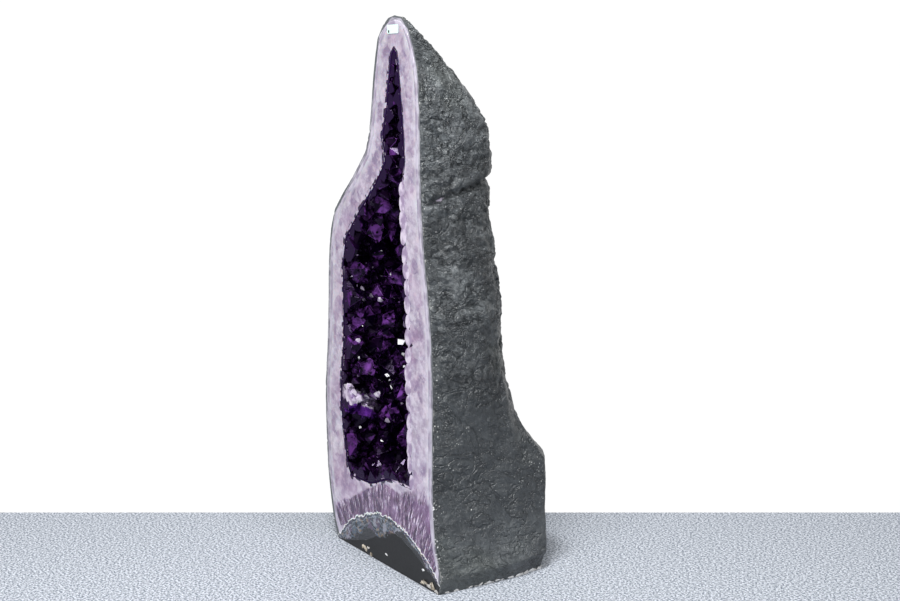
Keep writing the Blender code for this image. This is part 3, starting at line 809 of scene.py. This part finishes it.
def scatter_group():
    """Points on a surface, each with a quartz point that leans off the surface's normal."""
    tree = bpy.data.node_groups.new("scatter_points", "GeometryNodeTree")
    face = tree.interface
    face.new_socket("Geometry", in_out="INPUT", socket_type="NodeSocketGeometry")
    for label in ("Spacing", "Smallest", "Largest", "Lean"):
        face.new_socket(label, in_out="INPUT", socket_type="NodeSocketFloat")
    face.new_socket("Seed", in_out="INPUT", socket_type="NodeSocketInt")
    face.new_socket("Points", in_out="INPUT", socket_type="NodeSocketCollection")
    face.new_socket("Material", in_out="INPUT", socket_type="NodeSocketMaterial")
    face.new_socket("Geometry", in_out="OUTPUT", socket_type="NodeSocketGeometry")
    new = tree.nodes.new
    given = new("NodeGroupInput")
    spread = new("GeometryNodeDistributePointsOnFaces")
    spread.distribute_method = "POISSON"
    spread.inputs["Density Max"].default_value = 60000.0
    link(tree, given, "Geometry", spread, "Mesh")
    link(tree, given, "Spacing", spread, "Distance Min")
    link(tree, given, "Seed", spread, "Seed")
    lean = new("FunctionNodeRandomValue")
    lean.data_type = "FLOAT_VECTOR"
    negative = new("ShaderNodeMath")
    negative.operation = "MULTIPLY"
    negative.inputs[1].default_value = -1.0
    link(tree, given, "Lean", negative, 0)
    low, high = new("ShaderNodeCombineXYZ"), new("ShaderNodeCombineXYZ")
    for key in range(3):
        link(tree, negative, 0, low, key)
        link(tree, given, "Lean", high, key)
    tree.links.new(low.outputs[0], lean.inputs["Min"])
    tree.links.new(high.outputs[0], lean.inputs["Max"])
    link(tree, given, "Seed", lean, "Seed")
    aim = new("ShaderNodeVectorMath")
    aim.operation = "ADD"
    link(tree, spread, "Normal", aim, 0)
    tree.links.new(lean.outputs[0], aim.inputs[1])
    turn = new("FunctionNodeAlignRotationToVector")
    turn.axis = "Z"
    link(tree, aim, 0, turn, "Vector")
    spin = new("FunctionNodeRandomValue")
    spin.data_type = "FLOAT"
    spin.inputs[3].default_value = math.tau
    spin_by = new("FunctionNodeAxisAngleToRotation")
    spin_by.inputs["Axis"].default_value = (0.0, 0.0, 1.0)
    tree.links.new(spin.outputs[1], spin_by.inputs["Angle"])
    both = new("FunctionNodeRotateRotation")
    both.rotation_space = "LOCAL"
    link(tree, turn, 0, both, 0)
    link(tree, spin_by, 0, both, 1)
    size = new("FunctionNodeRandomValue")
    size.data_type = "FLOAT"
    tree.links.new(given.outputs["Smallest"], size.inputs[2])
    tree.links.new(given.outputs["Largest"], size.inputs[3])
    chosen = new("GeometryNodeCollectionInfo")
    chosen.inputs["Separate Children"].default_value = True
    link(tree, given, "Points", chosen, "Collection")
    grow = new("GeometryNodeInstanceOnPoints")
    grow.inputs["Pick Instance"].default_value = True
    link(tree, spread, "Points", grow, "Points")
    link(tree, chosen, 0, grow, "Instance")
    link(tree, both, 0, grow, "Rotation")
    tree.links.new(size.outputs[1], grow.inputs["Scale"])
    tone = new("FunctionNodeRandomValue")
    tone.data_type = "FLOAT"
    store = new("GeometryNodeStoreNamedAttribute")
    store.data_type = "FLOAT"
    store.domain = "INSTANCE"
    store.inputs["Name"].default_value = "tone"
    link(tree, grow, 0, store, "Geometry")
    tree.links.new(tone.outputs[1], store.inputs["Value"])
    real = new("GeometryNodeRealizeInstances")
    link(tree, store, 0, real, 0)
    dress = new("GeometryNodeSetMaterial")
    link(tree, real, 0, dress, "Geometry")
    link(tree, given, "Material", dress, "Material")
    done = new("NodeGroupOutput")
    link(tree, dress, 0, done, 0)
    return tree


SCATTER = scatter_group()
print("scatter group nodes", len(SCATTER.nodes))


def scattered(name, surface, material, **values):
    """The surface's scattered points as a plain mesh, sawn off flush with the face."""
    grow = surface.modifiers.new("scatter", "NODES")
    grow.node_group = SCATTER
    values.update(Points=prototypes, Material=material)
    for item in SCATTER.interface.items_tree:
        if item.in_out == "INPUT" and item.name in values:
            grow[item.identifier] = values[item.name]
    plain = baked(surface, name)
    bm = bmesh.new()
    bm.from_mesh(plain.data)
    if "pale" in bm.faces.layers.float:
        bm.faces.layers.float.remove(bm.faces.layers.float["pale"])
    saw_flush(bm, random.Random(values["Seed"]))
    bm.to_mesh(plain.data)
    bm.free()
    plain.data.shade_flat()
    dress(plain, material)
    with_roots(plain)
    return plain


small_piece = scattered("amethyst_druse", wall_surface("wall_small"), amethyst.material,
                        Spacing=0.0062, Smallest=0.0026, Largest=0.0052, Lean=0.35, Seed=3)
finish_piece(small_piece, "amethyst")
middle_piece = scattered("amethyst_middle_points", wall_surface("wall_middle"), amethyst.material,
                         Spacing=0.0170, Smallest=0.0070, Largest=0.0120, Lean=0.45, Seed=8)
finish_piece(middle_piece, "amethyst")

# %% [markdown]
# Along the right edge the saw went through a row of broad low points, so their pale cut bases scallop
# the rim. On the far wall a belt of cloudy, nearly colourless points crosses the hollow at about a third
# of its height, and a few broad facets lie open to the light. Small white plates are painted glints where
# facets would flash, and grey ones are painted reflections.
#
# Apart from the chips, each row below is a spot on the opening, across and up, and a half-width. The line
# of sight from the camera through it is followed to the lining, and the piece stands there, so its depth
# in the hollow is a guess. The chips' rows lie on the sawn face itself and end with a kind: 0 is raw
# mineral, 1 is mixed and 2 is white.

# %% Single points
VIEW_FROM = Vector((1.6848, -1.0837, 0.70))
RIM_FIRST, RIM_LAST, RIM_STEP = 0.145, 0.570, 0.025
CLOUDY = ((-0.096, 0.236, 0.0095), (-0.084, 0.230, 0.0070), (-0.078, 0.243, 0.0060), (-0.063, 0.238, 0.0070),
          (-0.052, 0.243, 0.0060), (-0.042, 0.237, 0.0080), (-0.030, 0.246, 0.0070), (-0.018, 0.240, 0.0065),
          (-0.004, 0.256, 0.0050), (-0.090, 0.250, 0.0060), (-0.062, 0.326, 0.0045), (0.007, 0.399, 0.0045),
          (-0.085, 0.417, 0.0040), (-0.048, 0.407, 0.0040), (-0.019, 0.401, 0.0035), (0.026, 0.223, 0.0045),
          (0.025, 0.567, 0.0040), (0.070, 0.256, 0.0060), (-0.060, 0.121, 0.0080), (-0.047, 0.116, 0.0060),
          (0.024, 0.136, 0.0050), (0.040, 0.141, 0.0055))
BROAD = ((0.057, 0.440, 0.0165), (-0.037, 0.367, 0.0150), (0.030, 0.355, 0.0120), (0.044, 0.322, 0.0150),
         (-0.030, 0.200, 0.0110), (0.040, 0.240, 0.0110), (0.015, 0.535, 0.0120))
CHIPS = ((-0.052, 0.010, 0.005, 0), (-0.044, 0.006, 0.006, 0), (-0.036, 0.012, 0.004, 1),
         (-0.028, 0.003, 0.005, 0), (0.018, 0.016, 0.004, 2), (0.122, 0.024, 0.004, 2),
         (0.118, 0.004, 0.006, 0), (0.128, 0.006, 0.008, 0), (0.138, 0.004, 0.007, 1),
         (0.147, 0.006, 0.008, 0), (0.156, 0.003, 0.007, 1))
# Painted glints: white plates where facets would flash with a lamp's reflection.
PAINTED_GLINTS = ((-0.018, 0.479, 0.0020), (0.011, 0.470, 0.0011), (-0.010, 0.451, 0.0015), (-0.015, 0.441, 0.0014),
           (0.017, 0.448, 0.0024), (0.036, 0.439, 0.0018), (-0.060, 0.302, 0.0022), (0.006, 0.278, 0.0044),
           (0.024, 0.290, 0.0040), (0.031, 0.284, 0.0024), (0.065, 0.344, 0.0054), (0.070, 0.329, 0.0032),
           (0.071, 0.320, 0.0036), (0.072, 0.311, 0.0030), (-0.058, 0.195, 0.0016), (0.007, 0.188, 0.0022),
           (-0.022, 0.161, 0.0026),
           (0.070, 0.163, 0.0010), (-0.048, 0.352, 0.0010), (0.045, 0.405, 0.0010))
# Painted reflections: grey-lavender plates where facets would mirror the room.
PAINTED_REFLECTIONS = ((0.064, 0.362, 0.0055), (0.074, 0.372, 0.0040), (0.026, 0.264, 0.0034),
               (0.033, 0.272, 0.0036), (0.040, 0.280, 0.0034), (0.070, 0.250, 0.0046),
               (0.011, 0.433, 0.0034))


def seen_at(x, z):
    """Where a sight line through a spot of the opening first meets the lining, and its direction."""
    spot = Vector((x, SAW_Y, z))
    way = (spot - VIEW_FROM).normalized()
    hits = [tree.ray_cast(spot, way) for tree in (large_tree, wall_tree)]
    beyond = (spot + way * 0.02, None, None, 0.02)
    return min((h for h in hits if h[0]), key=lambda h: h[3], default=beyond)[0], way


def stand(place, axis, size, spin):
    """The matrix that puts a unit point at a place, along an axis."""
    turned = axis.to_track_quat("Z", "Y").to_matrix().to_4x4()
    return Matrix.Translation(place) @ turned @ Matrix.Rotation(spin, 4, "Z") @ Matrix.Scale(size, 4)


rng = random.Random(21)
large_tree = BVHTree.FromObject(large_piece, bpy.context.evaluated_depsgraph_get())
single = bmesh.new()
z = RIM_FIRST
while z < RIM_LAST:
    inside = Vector((0.045, SAW_Y + 0.004, z))
    place, normal, _, _ = wall_tree.ray_cast(inside, Vector((1.0, 0.0, 0.0)))
    half = RIM_STEP * rng.uniform(0.48, 0.62)
    axis = Vector((-1.0, rng.uniform(-0.1, 0.2), rng.uniform(-0.25, 0.25))).normalized()
    mound = stand(place, axis, half, rng.uniform(0, 1)) @ Matrix.Diagonal((1, 1, rng.uniform(0.45, 0.80), 1))
    bmesh.ops.create_icosphere(single, subdivisions=2, radius=1.0, matrix=mound)
    z += RIM_STEP * rng.uniform(0.75, 1.10)
for x, z, half in CLOUDY + BROAD:
    place, way = seen_at(x, z)
    place += way * half * 0.4
    is_cloudy = (x, z, half) in CLOUDY
    axis = (-way + Vector((rng.uniform(-0.4, 0.4), rng.uniform(-0.4, 0.2), rng.uniform(-0.1, 0.6))))
    pyramid = rng.uniform(0.55, 0.95)
    seat = stand(place, axis.normalized(), half, rng.uniform(0, 1))
    add_point(single, rng, 0.35, pyramid, seat, uneven=0.2, tone=rng.uniform(0.5, 1.0),
              pale=rng.uniform(0.45, 0.95) if is_cloudy else 0.0)
saw_flush(single, rng)
for vert in single.verts:
    if vert.co.y < SAW_Y + 4 * HAIR:
        vert.co.y -= 3 * HAIR
single_piece = make("amethyst_single_points", single, amethyst.material)
single_piece.data.shade_flat()
with_roots(single_piece)
finish_piece(single_piece, "amethyst")

# %% Painted glints and reflections
glint_mesh = bmesh.new()
reflection_layer = glint_mesh.faces.layers.float.new("tone")
for x, z, half in PAINTED_GLINTS + PAINTED_REFLECTIONS:
    place, way = seen_at(x, z)
    sides = rng.choice((3, 4, 4))
    radii = [half * rng.uniform(0.7, 1.7) for _ in range(sides)]
    lean = Vector((rng.uniform(-0.25, 0.25), rng.uniform(-0.25, 0.1), rng.uniform(0.0, 0.4)))
    matrix = stand(place - way * 0.002, (-way + lean).normalized(), 1.0, rng.uniform(0, math.tau))
    stretch = rng.uniform(0.55, 1.0)
    corners = []
    for depth in (0.0, -0.006):
        for k in range(sides):
            turn = math.tau * (k + rng.uniform(-0.15, 0.15)) / sides
            corners.append(matrix @ Vector((math.cos(turn) * radii[k] * stretch,
                                            math.sin(turn) * radii[k], depth)))
    verts = [glint_mesh.verts.new(c) for c in corners]
    made = len(glint_mesh.faces)
    glint_mesh.faces.new(verts[:sides])
    glint_mesh.faces.new(list(reversed(verts[sides:])))
    for k in range(sides):
        n = (k + 1) % sides
        glint_mesh.faces.new((verts[n], verts[k], verts[sides + k], verts[sides + n]))
    glint_mesh.faces.ensure_lookup_table()
    for face in glint_mesh.faces[made:]:
        face[reflection_layer] = float((x, z, half) in PAINTED_REFLECTIONS)
bmesh.ops.recalc_face_normals(glint_mesh, faces=glint_mesh.faces[:])
glint_piece = make("mirror_facets", glint_mesh, glint_shade.material)
glint_piece.data.shade_flat()
finish_piece(glint_piece, "quartz")

sugar_bed = large_piece.copy()
sugar_bed.data = large_piece.data.copy()
for spare in ("tone", "facet", "pale", "root"):
    if spare in sugar_bed.data.attributes:
        sugar_bed.data.attributes.remove(sugar_bed.data.attributes[spare])
bpy.context.scene.collection.objects.link(sugar_bed)
sugar_piece = scattered("amethyst_sugar", sugar_bed, amethyst.material,
                        Spacing=0.0085, Smallest=0.0008, Largest=0.0026, Lean=0.6, Seed=5)
finish_piece(sugar_piece, "amethyst")
dress(nodes["amethyst_carpet"], carpet_shade.material)

# %% [markdown]
# ## Chips
# The edge of the base is chipped back to raw tan and white mineral.

# %% Chips
chip_shade = Shade("raw_mineral", Roughness=0.6)
chip_kind = chip_shade.attribute("tone")
raw = chip_shade.mix(chip_shade.noise(160.0, 4.0).step(0.4, 0.6), rgb(120, 108, 92), rgb(206, 196, 178))
chip_shade.set(Base_Color=chip_shade.mix(chip_kind, raw, rgb(226, 226, 226)))
chips = bmesh.new()
kind = chips.faces.layers.float.new("tone")


def add_chip(x, y, z, half, tone, thin):
    """A jagged flake, pressed flat against the side it sits on."""
    across, along = thin
    matrix = Matrix.Translation((x, y, z)) @ Matrix.Rotation(rng.uniform(-0.7, 0.7), 4, "X")
    matrix = matrix @ Matrix.Diagonal((across * half, along * half, half * rng.uniform(0.4, 0.9), 1.0))
    made = bmesh.ops.create_icosphere(chips, subdivisions=1, radius=1.0, matrix=matrix)["verts"]
    for vert in made:
        vert.co += Vector([rng.uniform(-0.3, 0.3) * half * share for share in (across, along, 1.0)])
        vert.co.z = max(vert.co.z, 0.0)
    for face in {f for v in made for f in v.link_faces}:
        face[kind] = tone


for x, z, half, sort in CHIPS:
    add_chip(x, SAW_Y, z, half, (0.0, 0.5, 1.0)[sort], (1.0, 0.12))
right_side = stone_grid[:, :90]
for number in range(60):
    low = number % 3 > 0
    row = 0 if low else rng.randrange(2, 60)
    column = int(rng.triangular(2, 84, 50)) if low else rng.randrange(0, 2)
    x, y, z = right_side[row, column]
    half = rng.uniform(0.0020, 0.0065) if low else rng.uniform(0.0006, 0.0020)
    add_chip(x, y, z + half * 0.3, half, rng.choice((0.8, 1.0, 1.0)), (0.25, 1.0))
chip_piece = make("base_chips", chips, chip_shade.material)
chip_piece.data.shade_flat()
finish_piece(chip_piece, "basalt")

# %% [markdown]
# ## Label
# A blank pale mint sticker with one small printed dot.

# %% Label
DOT_X, DOT_Z = 0.0365, 0.7785
DOT_RADIUS = 0.0020
DOT_EDGE = 0.0023
label = Shade("mint_paper", Roughness=0.55, Specular_IOR_Level=0.4)
dot = label.node("ShaderNodeVectorMath", {"operation": "LENGTH"},
                 (label.vector(label.x - DOT_X, 0.0, label.z - DOT_Z),), "Value")
fibre = label.noise(900.0, 3.0)
mint = label.mix(fibre.step(0.3, 0.7), rgb(214, 240, 232), rgb(224, 248, 240))
label.set(Base_Color=label.mix(1.0 - dot.step(DOT_RADIUS, DOT_EDGE), mint, rgb(30, 34, 36)))
dress(nodes["price_label"], label.material)

# %% [markdown]
# ## Studio
# The stone stands on a plain pale floor in front of a white backdrop, lit by broad soft lights.

# %% Camera, floor and lights
VIEW_TURN = math.radians(57.0)
VIEW_TILT = math.radians(81.1)
LENS = 54.08
scene = bpy.context.scene
camera = bpy.data.objects.new("camera", bpy.data.cameras.new("camera"))
camera.location = VIEW_FROM
camera.rotation_euler = (VIEW_TILT, 0.0, VIEW_TURN)
camera.data.lens = LENS
scene.collection.objects.link(camera)
scene.camera = camera
scene.view_settings.view_transform = "Standard"

FLOOR_HALF = 2.5
FLOOR_BACK = 2.18         # how far in front of the camera the floor ends
away = Vector((-math.sin(VIEW_TURN), math.cos(VIEW_TURN), 0.0))
floor_bm = bmesh.new()
bmesh.ops.create_grid(floor_bm, x_segments=1, y_segments=1, size=FLOOR_HALF)
bmesh.ops.rotate(floor_bm, verts=floor_bm.verts[:], cent=(0, 0, 0),
                 matrix=Matrix.Rotation(VIEW_TURN, 3, "Z"))
floor = make("floor", floor_bm)
floor.location = Vector((VIEW_FROM.x, VIEW_FROM.y, -0.0004)) + away * (FLOOR_BACK - FLOOR_HALF)
cloth = Shade("pale_floor", Roughness=0.9)
cloth.set(Base_Color=cloth.mix(cloth.noise(300.0, 3.0, rough=0.7).step(0.42, 0.58), rgb(112, 120, 132),
                               rgb(214, 219, 228)))
floor.data.materials.append(cloth.material)

AMBIENT = 0.34
world = bpy.data.worlds.new("studio")
world.use_nodes = True
sky = world.node_tree
toward = sky.nodes.new("ShaderNodeVectorMath")
toward.operation = "DOT_PRODUCT"
sky.links.new(sky.nodes.new("ShaderNodeTexCoord").outputs["Generated"], toward.inputs[0])
toward.inputs[1].default_value = away
ramp = sky.nodes.new("ShaderNodeMapRange")
ramp.interpolation_type = "SMOOTHSTEP"
for key, value in enumerate((0.70, 0.88, AMBIENT, 1.02)):
    ramp.inputs[key + 1].default_value = value
sky.links.new(toward.outputs["Value"], ramp.inputs[0])
sky.links.new(ramp.outputs[0], sky.nodes["Background"].inputs["Color"])
scene.world = world


def area_light(name, place, target, size, power):
    """A square soft light aimed at a point."""
    data = bpy.data.lights.new(name, "AREA")
    data.size = size
    data.energy = power
    lamp = bpy.data.objects.new(name, data)
    lamp.location = place
    lamp.rotation_euler = (Vector(target) - Vector(place)).to_track_quat("-Z", "Y").to_euler()
    scene.collection.objects.link(lamp)


area_light("key", (1.0, -2.2, 1.1), (0.0, 0.0, 0.35), 0.8, 27.0)
area_light("top", (0.6, -0.7, 2.2), (0.15, 0.0, 0.6), 0.5, 42.0)
area_light("side", (1.7, 0.1, 2.2), (0.15, 0.0, 0.6), 0.35, 14.0)
print("camera at", tuple(VIEW_FROM), "lens", LENS)
